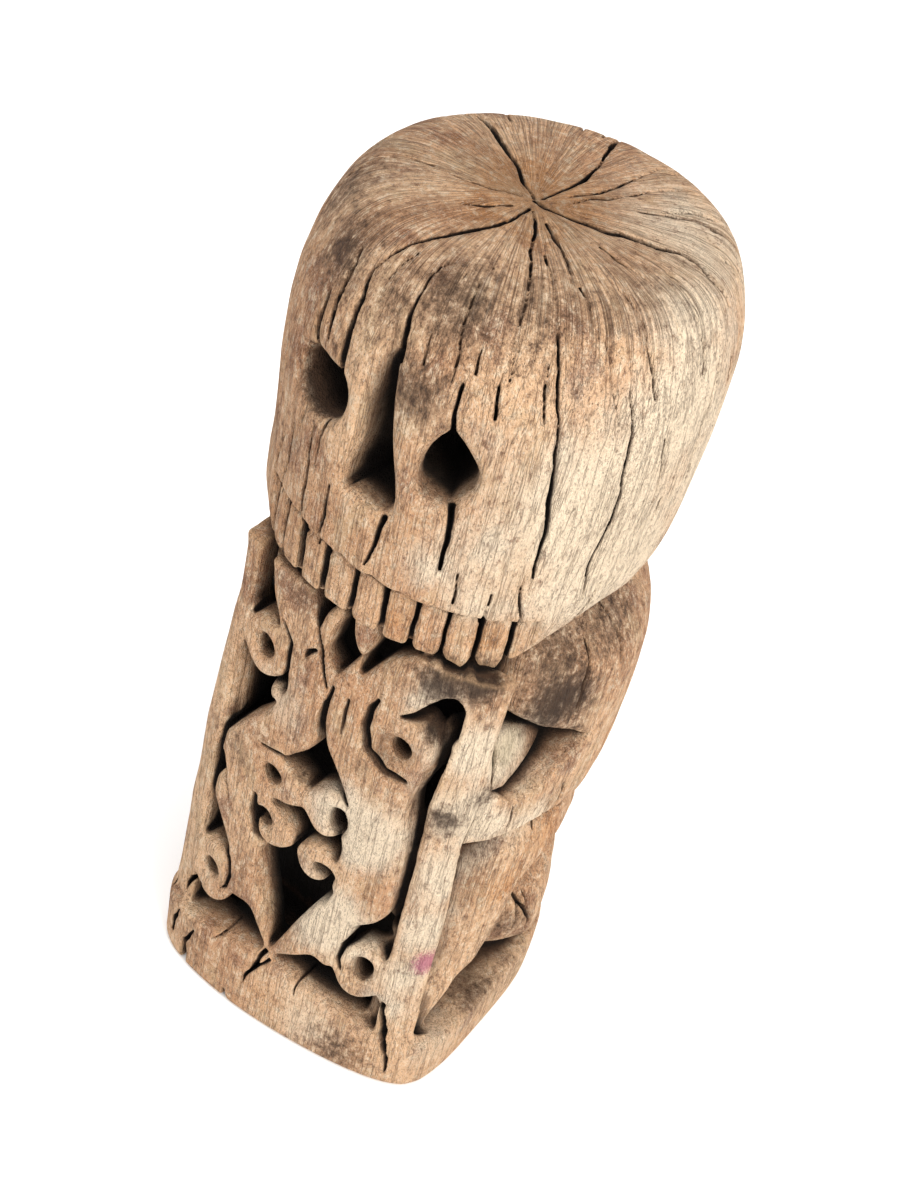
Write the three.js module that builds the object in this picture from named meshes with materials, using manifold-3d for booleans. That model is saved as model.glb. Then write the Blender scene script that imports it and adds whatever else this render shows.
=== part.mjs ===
// Korwar ancestor figure: a squatting figure with a skull-like head behind an openwork shield,
// carved in one piece from one log. Millimetres, +Z up, the front faces -Y, x = 0 is the pith,
// and the origin lies on the underside, where the figure stands.

import * as THREE from "three";
import { mergeVertices } from "three/addons/utils/BufferGeometryUtils.js";
import Module from "manifold-3d";

const wasm = await Module();
wasm.setup();

// Driving dimensions
const HEIGHT = 360;             // underside to crown
const BASE_HEIGHT = 28;         // block under the feet
const BASE_PEAK = 44;           // its front edge rises to this under the scrolls' foot
const SHIELD_TOP = 231;
const SHIELD_THICKNESS = 14;
const SHIELD_FRONT = -69.5;     // front of the shield at its middle
const SHIELD_CURVE = 7;         // the bars lie this much further back than the middle
const CORNER_ROUNDING = 5;      // and their outer edges this much more
const BACK_CURVE = 5.5;         // the back is flatter, so the bars are thinner
const THINNEST_BAR = 4;
const SHIELD_HALF_WIDTH = 55;
const HOLLOW_BACK = -31;        // chest behind the shield
const SHOULDER_TOP = 252;
const HEAD_Y = -11;             // the head's axis
const HEAD_RADIUS = 67.5;
const HEAD_LEAN_ANGLE = 109;    // it leans this way, in degrees from the front towards +X
const LIP_Z = 255.5;            // lower edge of the upper lip, at the middle
const LIP_SLOPE = -0.1;         // and its fall towards +X
const TOOTH_INSET = 2.5;
const TOOTH_GAP_DEPTH = 7;

// Turning a closed geometry into a solid, and back

function solid(geometry) {
  geometry.deleteAttribute("normal");
  geometry.deleteAttribute("uv");
  const merged = mergeVertices(geometry, 1e-3);
  const corners = merged.index.array;
  const kept = [];
  for (let i = 0; i < corners.length; i += 3) {
    const [a, b, c] = corners.slice(i, i + 3);
    if (a !== b && b !== c && c !== a) kept.push(a, b, c);
  }
  const vertProperties = new Float32Array(merged.attributes.position.array);
  const triVerts = new Uint32Array(kept);
  return new wasm.Manifold(new wasm.Mesh({ numProp: 3, vertProperties, triVerts }));
}

function join(pieces) {
  return pieces.reduce((whole, piece) => whole.add(piece));
}

function carve(block, cuts) {
  return cuts.reduce((left, cut) => left.subtract(cut), block);
}

function toGeometry(manifold) {
  const mesh = manifold.getMesh();
  const geometry = new THREE.BufferGeometry();
  geometry.setAttribute("position", new THREE.BufferAttribute(mesh.vertProperties, 3));
  geometry.setIndex(new THREE.BufferAttribute(mesh.triVerts, 1));
  geometry.computeVertexNormals();
  return geometry;
}

// Outlines

function polygon(points) {
  return new THREE.Shape(points.map(([a, b]) => new THREE.Vector2(a, b)));
}

function smooth(points, samples) {
  const curve = new THREE.CatmullRomCurve3(
    points.map(([a, b]) => new THREE.Vector3(a, b, 0)), true, "centripetal");
  const ring = curve.getSpacedPoints(samples).slice(0, -1);
  return new THREE.Shape(ring.map((p) => new THREE.Vector2(p.x, p.y)));
}

function oval(x, z, halfWidth, halfHeight, samples = 14) {
  const points = [];
  for (let i = 0; i < samples; i += 1) {
    const turn = (i / samples) * 2 * Math.PI;
    points.push([x + halfWidth * Math.cos(turn), z + halfHeight * Math.sin(turn)]);
  }
  return polygon(points);
}

// Extrusions along the three axes, and round forms

function extrude(shape, depth, steps = 1) {
  return new THREE.ExtrudeGeometry(shape, { depth, steps, bevelEnabled: false });
}

function frontPlate(shape, yFront, yBack) {
  const geometry = extrude(shape, yBack - yFront);
  return geometry.rotateX(Math.PI / 2).translate(0, yBack, 0);
}

function sidePlate(shape, xLow, xHigh) {
  const turn = new THREE.Matrix4().makeBasis(
    new THREE.Vector3(0, 1, 0), new THREE.Vector3(0, 0, 1), new THREE.Vector3(1, 0, 0));
  return extrude(shape, xHigh - xLow).applyMatrix4(turn).translate(xLow, 0, 0);
}

function upright(shape, zLow, zHigh, steps = 1) {
  return extrude(shape, zHigh - zLow, steps).translate(0, 0, zLow);
}

function ellipsoid([x, y, z], [rx, ry, rz], around = 24, along = 14) {
  return new THREE.SphereGeometry(1, around, along).scale(rx, ry, rz).translate(x, y, z);
}

function reshape(geometry, move) {
  const position = geometry.attributes.position;
  const point = new THREE.Vector3();
  for (let i = 0; i < position.count; i += 1) {
    point.fromBufferAttribute(position, i);
    move(point);
    position.setXYZ(i, point.x, point.y, point.z);
  }
  return geometry;
}

// Value of a table of [place, value] rows, straight between rows
function along(table, place) {
  const next = table.findIndex(([at]) => at >= place);
  if (next < 0) return table[table.length - 1][1];
  if (next === 0) return table[0][1];
  const [[a, u], [b, v]] = [table[next - 1], table[next]];
  return u + ((v - u) * (place - a)) / (b - a);
}

// The log: its outline at the foot, and its girth above the foot

const FOOT_OUTLINE = [
  [-61, -56], [-52, -65.5], [-22, -70.5], [18, -67], [50, -58.5], [62, -51], [66, -38], [66.5, -12],
  [64, 24], [57, 43], [43, 58], [18, 66], [-14, 66], [-41, 58], [-56, 42], [-62, 14], [-62, -22],
];
const LOG_Y = -5;
const LOG_RADIUS = [
  [10, 68], [60, 69], [112, 69.5], [142, 69], [160, 70.8], [184, 71.5], [209, 71], [218, 69],
  [226, 64.5], [234, 57.5], [243, 49], [252, 40],
];
const BACK_TUCKS = [[70, 0], [83, 4], [94, 1], [112, 0.5], [120, 1], [131, 3.6], [148, 0]];

function log(zLow, zHigh, steps) {
  const core = new THREE.CircleGeometry(1, 56);
  const rim = [];
  for (let i = 1; i < 57; i += 1) {
    rim.push(new THREE.Vector2(core.attributes.position.getX(i), core.attributes.position.getY(i)));
  }
  const block = upright(new THREE.Shape(rim), zLow, zHigh, steps);
  return solid(reshape(block, (p) => {
    const back = THREE.MathUtils.clamp((p.y + 0.3) / 0.5, 0, 1);
    const radius = along(LOG_RADIUS, p.z) - back * along(BACK_TUCKS, p.z);
    p.x *= radius;
    p.y = LOG_Y + p.y * radius;
  }));
}

// Base block, its front edge rising to the scrolls' foot

function base() {
  const block = solid(upright(smooth(FOOT_OUTLINE, 60), 0, BASE_PEAK));
  const gable = polygon([
    [-70, 0], [72, 0], [72, 26], [60, 28], [44, 31], [-3, BASE_PEAK], [-44, 32], [-70, 27],
  ]);
  const rim = solid(frontPlate(gable, -80, -50));
  const slab = solid(upright(smooth(FOOT_OUTLINE, 60), 0, BASE_HEIGHT));
  return slab.add(block.intersect(rim));
}

// Squatting body: back, arms, legs, in the log's outline, with the hollow behind the shield

// Side outlines are in (y, z), the roundings of arm and leg in (x, y), the lap's slope in (x, z)
const UPPER_ARM = [
  [-41, 256], [-43, 216], [-40, 202], [-28, 192], [-12, 184], [12, 150], [60, 150], [60, 256],
];
const ARM_ROUNDING = [
  [30, -75], [90, -75], [90, 4], [72, 4], [69, -14], [62, -28], [54, -39], [44, -48], [30, -55],
];
const FOREARM = [
  [-60, 184], [-48, 176], [-44, 169], [-38, 166], [-33, 168], [-23, 176], [-11, 184], [10, 190],
  [30, 190], [18, 138], [-6, 144], [-27, 146], [-38, 144], [-48, 139], [-60, 136],
];
const LAP = [[-56, 140], [-56, 205], [-42, 195], [-30, 190], [-20, 183], [-8, 174], [-8, 140]];
const LAP_SLOPE = [[30, 130], [30, 216], [46, 206], [52, 194], [57, 176], [57, 130]];
const LEG = [
  [-56, 140], [-38, 151], [0, 139], [14, 135], [22, 122], [6, 120], [-10, 118], [-19, 108], [-23, 88],
  [-28, 68], [-34, 55], [-39, 38], [-41, 26], [-56, 26],
];
const LEG_ROUNDING = [
  [40, -62], [90, -62], [90, -16], [68.5, -16], [65.5, -27], [61.5, -38], [55, -48], [40, -56],
];
const LIMB_INNER = 38;
const LIMB_OUTER = 90;

// Plan of the wood between the hollow and the back, in (x, y)
const SPINE_OUTLINE = [
  [-46, 8], [-44, -24], [-20, HOLLOW_BACK], [20, HOLLOW_BACK], [44, -24], [46, 8], [36, 50], [0, 62],
  [-36, 50],
];

function limb(points) {
  return solid(sidePlate(polygon(points), LIMB_INNER, LIMB_OUTER));
}

function body() {
  const spine = solid(upright(smooth(SPINE_OUTLINE, 40), 10, SHOULDER_TOP + 6));
  const chest = solid(ellipsoid([0, 22, 150], [52, 58, 150], 32, 18));
  const shoulders = solid(ellipsoid([0, 16, 222], [74, 60, 34], 32, 14));
  const seat = solid(ellipsoid([0, 24, 60], [72, 52, 46], 32, 14));
  const behind = solid(sidePlate(polygon([
    [HOLLOW_BACK, 0], [90, 0], [90, 270], [HOLLOW_BACK, 270]]), -LIMB_OUTER, LIMB_OUTER));
  const trunk = join([chest, shoulders, seat]).intersect(behind);
  const armRounding = solid(upright(polygon(ARM_ROUNDING), 140, 260));
  const legRounding = solid(upright(polygon(LEG_ROUNDING), 20, 150));
  const lap = limb(LAP).intersect(solid(frontPlate(polygon(LAP_SLOPE), -60, 0)));
  const limbs = join([
    limb(UPPER_ARM).subtract(armRounding), limb(FOREARM), lap, limb(LEG).subtract(legRounding),
  ]);
  const form = join([trunk, spine, limbs, limbs.mirror([1, 0, 0])]);
  return form.intersect(log(10, SHOULDER_TOP, 22));
}

// Openwork shield: two bars and two facing scrolls, cut from one curved board

function shieldFront(x) {
  const across = (x + 3) / SHIELD_HALF_WIDTH;
  return SHIELD_FRONT + SHIELD_CURVE * across ** 2 + CORNER_ROUNDING * across ** 6;
}

function shieldBack(x) {
  const across = (x + 3) / SHIELD_HALF_WIDTH;
  const back = SHIELD_FRONT + SHIELD_THICKNESS + BACK_CURVE * across ** 2;
  return Math.max(back, shieldFront(x) + THINNEST_BAR);
}

function curvedBoard() {
  const reach = 66;
  const count = 14;
  const front = [];
  const back = [];
  for (let i = 0; i <= count; i += 1) {
    const x = -reach + (2 * reach * i) / count;
    front.push([x, shieldFront(x)]);
    back.unshift([x, shieldBack(x)]);
  }
  return solid(upright(polygon([...front, ...back]), 10, SHIELD_TOP));
}

const RIGHT_BAR = [
  [46, 10], [43.5, 60], [42.5, 110], [42, 155], [43, 229], [56.5, 229], [56, 180], [54.5, 148], [57, 100],
  [59.5, 62], [62, 26], [62, 10],
];
const LEFT_BAR = [
  [-61, 10], [-59, 45], [-56, 90], [-53, 135], [-48.5, 178], [-45, 205], [-44.5, 231], [-36, 231],
  [-36.5, 206], [-39, 180], [-41, 140], [-43, 93], [-47, 10],
];

const LEFT_SCROLL = [
  [-31.5, 229], [-22, 230], [-12, 229], [-9, 214], [-6, 204], [-1, 191], [-0.5, 178], [0, 166], [-4, 158],
  [-12, 149], [-14, 140], [-14, 104], [-15, 93], [-12, 80], [-6, 62], [-2, 42], [-5, 42], [-10, 54],
  [-15, 62], [-24, 60], [-27, 72], [-30, 84], [-35, 94], [-41, 103], [-42, 111], [-37, 121], [-40, 128],
  [-41, 138], [-35, 148], [-22, 166], [-16, 180], [-18, 196], [-24, 206], [-29, 216],
];
const RIGHT_SCROLL = [
  [0, 196], [6, 201], [11, 208], [19, 221], [30, 229], [44, 231], [44, 221], [37, 209], [34, 200],
  [38, 176], [37, 155], [39.5, 138], [40.5, 118], [40, 104], [36, 95], [29, 88], [27, 70], [22, 56],
  [17, 61], [8, 52], [-3, 42], [-2, 48], [5, 70], [12, 88], [17, 97], [17, 147], [10, 158], [3, 168],
  [1, 180],
];
const LEFT_LEAF = [
  [0, 194], [-4, 203], [-8, 215], [-7, 223], [-2, 230], [1, 228], [-2, 218], [-3, 208], [3, 198],
];
const RIGHT_LEAF = [
  [0, 195], [4, 206], [7, 214], [4, 222], [4, 231], [13, 231], [13, 223], [10, 214], [9, 206], [6, 198],
];

// Each curl: middle, half sizes of the ring, middle and half sizes of its hole
const CURLS = [
  { ring: [-28, 191, 10, 13.5], hole: [-28, 191, 3.8, 5.2] },
  { ring: [-11, 137, 11.5, 10.5], hole: [-16, 137, 4.3, 4.6] },
  { ring: [-12, 112, 10.5, 10.5], hole: [-16, 113.5, 3.8, 4.4] },
  { ring: [-36, 63, 11, 17.5], hole: [-36.5, 64, 4, 4.6] },
  { ring: [29, 187, 11.5, 14.5], hole: [29, 184, 4, 4.6] },
  { ring: [9, 137, 9.5, 13], hole: [13.5, 136, 3.6, 7] },
  { ring: [9, 109, 9, 10], hole: [12.5, 107, 5, 3.6] },
  { ring: [34.5, 65.5, 10, 16.5], hole: [35.5, 67, 3.8, 7.6] },
];

// Cuts through the shield run between these two planes
const BEFORE_SHIELD = -80;
const BEHIND_SHIELD = -35;

function shield() {
  const plates = [RIGHT_BAR, LEFT_BAR, LEFT_SCROLL, RIGHT_SCROLL, LEFT_LEAF, RIGHT_LEAF].map(polygon);
  const rings = CURLS.map(({ ring }) => oval(...ring, 18));
  const drawn = join([...plates, ...rings].map((shape) => (
    solid(frontPlate(shape, BEFORE_SHIELD, BEHIND_SHIELD)))));
  const holes = CURLS.map(({ hole }) => (
    solid(frontPlate(oval(...hole, 12), BEFORE_SHIELD, BEHIND_SHIELD))));
  return carve(drawn, holes).intersect(curvedBoard());
}

// Head: a turned form, fuller at one side, with sockets, nose, lip, teeth and cracks

const HEAD_PROFILE = [
  [0, 238], [46, 238], [58, 227.5], [63, 229.5], [65.3, 240], [66, 252], [66.3, 266], [67, 280],
  [67.7, 295], [67.7, 312], [66.8, 325], [64.6, 336], [61.5, 345], [57.5, 352], [51, 357], [41, 359.3],
  [24, 359.9], [0, HEIGHT],
];
const JAW_RADIUS = 66;
const HEAD_LEAN = [[232, 0.5], [255, 1.6], [280, 2.4], [310, 2.7], [333, 3.6], [347, 4.4], [360, 5]];
// Rise of the jaw's lower edge by bearing: the jaw is cut away at both sides of the teeth
const JAW_RISE = [
  [-180, 21], [-75, 18], [-50, 8], [-34, 4], [0, 4], [20, 2], [45, 0], [52, 1], [60, 7], [66, 12],
  [78, 19], [180, 21],
];
const JAW_RISE_TOP = 268;       // above this the head is round
const JAW_RISE_REACH = 30;
const JAW_INNER_RADIUS = 30;    // nearer the axis the jaw's underside stays level
const HEAD_SEGMENTS = 60;

// Degrees round the head from its front, growing towards +X
function headAngle(point) {
  return THREE.MathUtils.radToDeg(Math.atan2(point.x, -(point.y - HEAD_Y)));
}

function aroundHead(geometry, degrees) {
  return geometry.rotateZ(THREE.MathUtils.degToRad(degrees)).translate(0, HEAD_Y, 0);
}

function headBlock() {
  const profile = HEAD_PROFILE.map(([r, z]) => new THREE.Vector2(r, z));
  const turned = new THREE.LatheGeometry(profile, HEAD_SEGMENTS);
  turned.rotateX(Math.PI / 2).translate(0, HEAD_Y, 0);
  const way = THREE.MathUtils.degToRad(HEAD_LEAN_ANGLE);
  return solid(reshape(turned, (p) => {
    const low = THREE.MathUtils.clamp((JAW_RISE_TOP - p.z) / JAW_RISE_REACH, 0, 1);
    if (Math.hypot(p.x, p.y - HEAD_Y) > JAW_INNER_RADIUS) p.z += along(JAW_RISE, headAngle(p)) * low;
    const lean = along(HEAD_LEAN, p.z);
    p.x += lean * Math.sin(way);
    p.y -= lean * Math.cos(way);
  }));
}

// Sockets and nose, as outlines of (mm across from a bearing, height) bored straight in
const LEFT_EYE = { bearing: -20, depth: 30, outline: [
  [-11.4, 308], [-10.3, 311.7], [-5.1, 314.7], [0, 315.3], [5.9, 314.3], [10.6, 313.4], [12.3, 308.9],
  [11.1, 301], [6.4, 298.4], [1.2, 297.1], [-3.6, 298.6], [-9.2, 303.6],
] };
const RIGHT_EYE = { bearing: 24, depth: 30, outline: [
  [-2.3, 317.8], [1.2, 313.5], [5.4, 308.1], [7.2, 304.3], [6.6, 299.6], [3.4, 295.2], [0.9, 290.8],
  [-5.6, 292.5], [-9, 295], [-9, 302.7], [-7, 309.5],
] };
const NOSE = { bearing: 0, depth: 22, outline: [
  [-5.5, 281], [-4.5, 290], [-1, 300], [1.5, 318], [2, 334], [4.5, 334], [5, 319], [7.2, 306], [10, 294],
  [12.3, 282], [10, 279.5],
] };

function bore({ bearing, depth, outline }) {
  const plug = frontPlate(polygon(outline), -HEAD_RADIUS - 8, -HEAD_RADIUS + depth);
  return solid(aroundHead(plug, bearing));
}

// A crack down the side of the head: a thin wedge, widest at the surface
function sideCrack({ bearing, low, high, width, depth }) {
  const [mouth, root] = [-HEAD_RADIUS - 6, -HEAD_RADIUS + depth];
  const wedge = polygon([[-width / 2, mouth], [width / 2, mouth], [0.2, root], [-0.2, root]]);
  return solid(aroundHead(upright(wedge, low, high), bearing));
}

// A crack across the crown, running out from the pith
function crownCrack({ bearing, reach, width, depth }) {
  const plan = polygon([[-width / 2, -4], [0, -reach], [width / 2, -4], [0, 1]]);
  const cut = upright(plan, HEIGHT - depth, HEIGHT + 5).rotateZ(THREE.MathUtils.degToRad(bearing));
  return solid(cut.translate(PITH[0], PITH[1], 0));
}

const PITH = [2, -16];
const SIDE_CRACKS = [
  { bearing: -13.2, low: 314, high: 350, width: 1.8, depth: 6 },
  { bearing: -20.5, low: 325, high: 352, width: 1.4, depth: 5 },
  { bearing: 30.8, low: 322, high: 350, width: 1.4, depth: 6 },
  { bearing: 49.6, low: 268, high: 306, width: 2.2, depth: 12 },
  { bearing: 66.6, low: 262, high: 312, width: 1.6, depth: 10 },
];
const CROWN_CRACKS = [
  { bearing: -73, reach: 42, width: 2.6, depth: 14 }, { bearing: 99, reach: 48, width: 2.6, depth: 14 },
  { bearing: -175, reach: 50, width: 2, depth: 12 }, { bearing: -126, reach: 46, width: 2, depth: 12 },
  { bearing: -9, reach: 54, width: 1.8, depth: 10 }, { bearing: 33, reach: 54, width: 1.8, depth: 10 },
];

// Saw cuts between the teeth, as bearings and widths
const TOOTH_GAPS = [
  [-34, 2], [-26.5, 1.6], [-17, 3.4], [-6.5, 2.8], [4.3, 1.8], [14.2, 2.8], [23.6, 2.4], [32.6, 1.8],
  [42, 1.8], [51.5, 2.2],
];
const MOUTH_ARC = { from: -36, to: 58, steps: 12 };

function head() {
  const jawArc = [];
  for (let i = 0; i <= MOUTH_ARC.steps; i += 1) {
    const bearing = MOUTH_ARC.from + (i * (MOUTH_ARC.to - MOUTH_ARC.from)) / MOUTH_ARC.steps;
    const turn = THREE.MathUtils.degToRad(bearing);
    jawArc.push([Math.sin(turn), -Math.cos(turn)]);
  }
  const band = (radius) => jawArc.map(([x, y]) => [x * radius, y * radius]);
  const inset = polygon([...band(JAW_RADIUS + 24), ...band(JAW_RADIUS - TOOTH_INSET).reverse()]);
  const mouth = upright(inset, 0, LIP_Z);
  const lip = solid(reshape(mouth, (p) => {
    if (p.z > 0) p.z += LIP_SLOPE * p.x;
    p.y += HEAD_Y;
  }));
  const gaps = TOOTH_GAPS.map(([bearing, width]) => sideCrack({
    bearing, low: 222, high: LIP_Z - 1 + LIP_SLOPE * bearing, width, depth: TOOTH_GAP_DEPTH,
  }));
  return carve(headBlock(), [
    lip, ...gaps, ...SIDE_CRACKS.map(sideCrack), ...CROWN_CRACKS.map(crownCrack),
    ...[LEFT_EYE, RIGHT_EYE, NOSE].map(bore),
  ]);
}

function neck() {
  return solid(upright(oval(0, -4, 54, 50, 40), 236, 266));
}

const wood = new THREE.MeshStandardMaterial({ color: 0xb8977a, roughness: 0.85, metalness: 0 });
const carving = join([base(), body(), shield(), neck(), head()]);
const figure = new THREE.Mesh(toGeometry(carving), wood);
figure.name = "korwar_figure";

const korwar = new THREE.Group();
korwar.add(figure);

export default korwar;
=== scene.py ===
import math

import bpy
import numpy as np
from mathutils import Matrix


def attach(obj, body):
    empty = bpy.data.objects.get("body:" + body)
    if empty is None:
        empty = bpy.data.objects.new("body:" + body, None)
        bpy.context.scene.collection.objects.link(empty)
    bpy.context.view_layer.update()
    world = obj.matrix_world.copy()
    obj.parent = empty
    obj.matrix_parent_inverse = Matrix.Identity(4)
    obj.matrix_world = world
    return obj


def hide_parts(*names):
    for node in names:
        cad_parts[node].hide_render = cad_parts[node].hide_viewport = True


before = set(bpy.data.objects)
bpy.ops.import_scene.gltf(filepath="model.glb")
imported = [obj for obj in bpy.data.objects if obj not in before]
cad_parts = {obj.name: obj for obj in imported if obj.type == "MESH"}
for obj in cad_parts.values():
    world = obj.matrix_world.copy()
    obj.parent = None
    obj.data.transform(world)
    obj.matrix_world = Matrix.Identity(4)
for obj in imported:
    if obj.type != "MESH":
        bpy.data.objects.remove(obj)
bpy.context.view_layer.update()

import openvdb as vdb
from mathutils import Matrix, Vector

# The log and its hewn form
# The figure is one piece of dense tropical hardwood, carved in the round from a log about 140 mm
# across. The hewn solid is read as distances to its surface, in millimetres, and years of weather
# then take its edges off: on the head and back most, where they also even out the surface.

VOXEL = 0.6            # mm between samples of the carving
BAND = 15              # samples of true distance kept on each side of the surface
MARGIN = 9             # spare samples round the figure
FACET_WEAR = 0.8       # mm of softening, as the width of the averaging
EDGE_WEAR = 1.7
HEAD_WEAR = 2.6
NECK = (258, 268)      # heights between which the body gives way to the head


def read_solid(piece):
    """Signed distances of a closed mesh in mm, negative inside, and the places of the samples."""
    mesh = piece.data
    mesh.calc_loop_triangles()
    points = np.empty(len(mesh.vertices) * 3, np.float32)
    mesh.vertices.foreach_get("co", points)
    points = points.reshape(-1, 3) * 1000
    corners = np.empty(len(mesh.loop_triangles) * 3, np.int32)
    mesh.loop_triangles.foreach_get("vertices", corners)
    grid = vdb.FloatGrid.createLevelSetFromPolygons(
        points, triangles=corners.reshape(-1, 3).astype(np.uint32),
        transform=vdb.createLinearTransform(VOXEL), halfWidth=BAND)
    low = np.floor(points.min(0) / VOXEL).astype(int) - MARGIN
    high = np.ceil(points.max(0) / VOXEL).astype(int) + MARGIN
    block = np.zeros(high - low, np.float32)
    grid.copyToArray(block, ijk=tuple(int(i) for i in low))
    return block, [((low[i] + np.arange(block.shape[i])) * VOXEL).astype(np.float32) for i in range(3)]


def blur(block, width):
    """The block averaged over a bell curve of this width, in samples."""
    reach = math.ceil(2.5 * width)
    weights = np.exp(-0.5 * (np.arange(-reach, reach + 1) / width) ** 2)
    weights /= weights.sum()
    for axis in range(3):
        padded = np.pad(block, [(reach, reach) if i == axis else (0, 0) for i in range(3)], mode="edge")
        block = np.zeros_like(block)
        for i, weight in enumerate(weights):
            part = [slice(None)] * 3
            part[axis] = slice(i, i + block.shape[axis])
            block += np.float32(weight) * padded[tuple(part)]
    return block


def ease(value, low, high):
    """0 below low, 1 above high and a smooth rise between."""
    t = np.clip((value - low) / (high - low), 0, 1)
    return t * t * (3 - 2 * t)


wood, (X, Y, Z) = read_solid(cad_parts["korwar_figure"])
x, y, z = np.meshgrid(X, Y, Z, indexing="ij", sparse=True)
head = ease(z, *NECK)
back = ease(y, -6, 8) * ease(z, 24, 32) * (1 - head)
wood = blur(wood, FACET_WEAR / VOXEL)
worn = blur(wood, EDGE_WEAR / VOXEL)
even = blur(worn, math.sqrt(HEAD_WEAR ** 2 - EDGE_WEAR ** 2) / VOXEL)
teeth = ease(y, -38, -46) * ease(z, 224, 231) * ease(z, 264, 256)
wood += (np.maximum(wood, worn) - wood) * (1 - teeth)
wood += (even - wood) * (head + back)
uncut = wood.copy()
del worn, even

# The head
# A skull-like head with a flat crown, cut from the log's upper end. Sockets, nose and the gaps
# between the teeth are chiselled in; the wood has since split along its rays, from the pith out.

HEAD_Y = -11.0         # the head's axis is x = 0, y = HEAD_Y
HEAD_RADIUS = 66.0
CROWN = 360.0          # the crown's height
PITH = (2.0, -16.0)    # where the rays meet on the crown


def window(low, high):
    """The samples between two corners, as slices of the block and as open x, y and z."""
    part = []
    for axis, a, b in zip((X, Y, Z), low, high):
        part.append(slice(*np.searchsorted(axis, (a, b))))
    return tuple(part), *np.meshgrid(X[part[0]], Y[part[1]], Z[part[2]], indexing="ij", sparse=True)


def cut(part, tool, rim=0.7):
    """Takes the inside of a tool, given as signed distances, out of the wood and rounds its rim."""
    here = wood[part]
    near = np.maximum(rim - np.abs(here + tool), 0)
    wood[part] = np.maximum(here, -tool) + near ** 2 / (4 * rim)


def bearings(x, y, z):
    """Over the head: degrees from the front towards +X, radius, and the way along the surface,
    which is the height on the sides and goes on growing over the crown to the pith. Between 60 and
    20 mm from the head's axis, the turning point moves from the axis to the pith."""
    outward = np.hypot(x, y - HEAD_Y)
    centred = np.clip(1.5 - outward / 40, 0, 1)
    middle_x = PITH[0] * centred
    middle_y = HEAD_Y + (PITH[1] - HEAD_Y) * centred
    degrees = np.degrees(np.arctan2(x - middle_x, middle_y - y))
    radius = np.hypot(x - middle_x, y - middle_y)
    return degrees, radius, z - radius + HEAD_RADIUS


def at_head(degrees, height, radius=HEAD_RADIUS):
    """The place at this bearing and height."""
    turn = math.radians(degrees)
    return radius * math.sin(turn), HEAD_Y - radius * math.cos(turn), height


def outline_distance(a, b, outline):
    """Distance from places (a, b) to a closed outline, negative inside it."""
    nearest = np.full(np.broadcast(a, b).shape, 1e3, np.float32)
    inside = np.zeros(nearest.shape, bool)
    for (a0, b0), (a1, b1) in zip(outline, outline[1:] + outline[:1]):
        share = ((a - a0) * (a1 - a0) + (b - b0) * (b1 - b0)) / ((a1 - a0) ** 2 + (b1 - b0) ** 2)
        share = np.clip(share, 0, 1)
        nearest = np.minimum(nearest, np.hypot(a - a0 - share * (a1 - a0), b - b0 - share * (b1 - b0)))
        if b0 != b1:
            inside ^= ((b0 > b) != (b1 > b)) & (a < a0 + (b - b0) * (a1 - a0) / (b1 - b0))
    return np.where(inside, -nearest, nearest)


def bore(outline, axis, depths, rim):
    """Hollows the head inside an outline of (degrees, height) points. depths is a table of
    (place, mm deep), by degrees if axis is "turn" and by height if it is "z"."""
    places, deep = zip(*depths)
    rings = HEAD_RADIUS + 4, HEAD_RADIUS - max(deep)
    corners = [at_head(*point, ring) for point in outline for ring in rings]
    part, x, y, z = window(np.min(corners, 0) - 4, np.max(corners, 0) + 4)
    turn, radius, _ = bearings(x, y, z)
    arc = math.radians(HEAD_RADIUS)   # mm of surface for a degree
    sides = outline_distance(turn * arc, z, [(degrees * arc, height) for degrees, height in outline])
    floor = HEAD_RADIUS - np.interp(turn if axis == "turn" else z, places, deep) - radius
    cut(part, np.maximum(sides, 0.7 * floor), rim)   # 0.7, as a slanting floor is nearer than it is deep


# Sockets: bored deep, with a wall that slopes in from the left
LEFT_EYE = [
    (-29.8, 308), (-28.6, 312), (-24.4, 314.9), (-20, 315.4), (-14.9, 314.4), (-10.9, 313.2),
    (-9.4, 308.9), (-9.6, 303.5), (-10.8, 300), (-14.5, 298), (-19, 297), (-22.5, 298.2),
    (-25.8, 301.2), (-28.8, 304.3),
]
RIGHT_EYE = [
    (22, 318), (23.3, 316), (25, 313.5), (27, 310.4), (28.9, 307.6), (30.2, 304), (29.8, 300.2),
    (28.2, 297.4), (26.6, 294.6), (24.8, 291), (22.6, 291.6), (19.2, 292.5), (17, 293.4),
    (15.7, 298), (16.3, 302.7), (17.5, 308), (19, 312.3), (20.8, 316),
]
bore(LEFT_EYE, "turn", [(-30.5, 2), (-28.5, 10), (-26.5, 32)], 1.6)
bore(RIGHT_EYE, "turn", [(15, 1.5), (18, 6.5), (20, 10), (21.4, 32)], 1.4)

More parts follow.
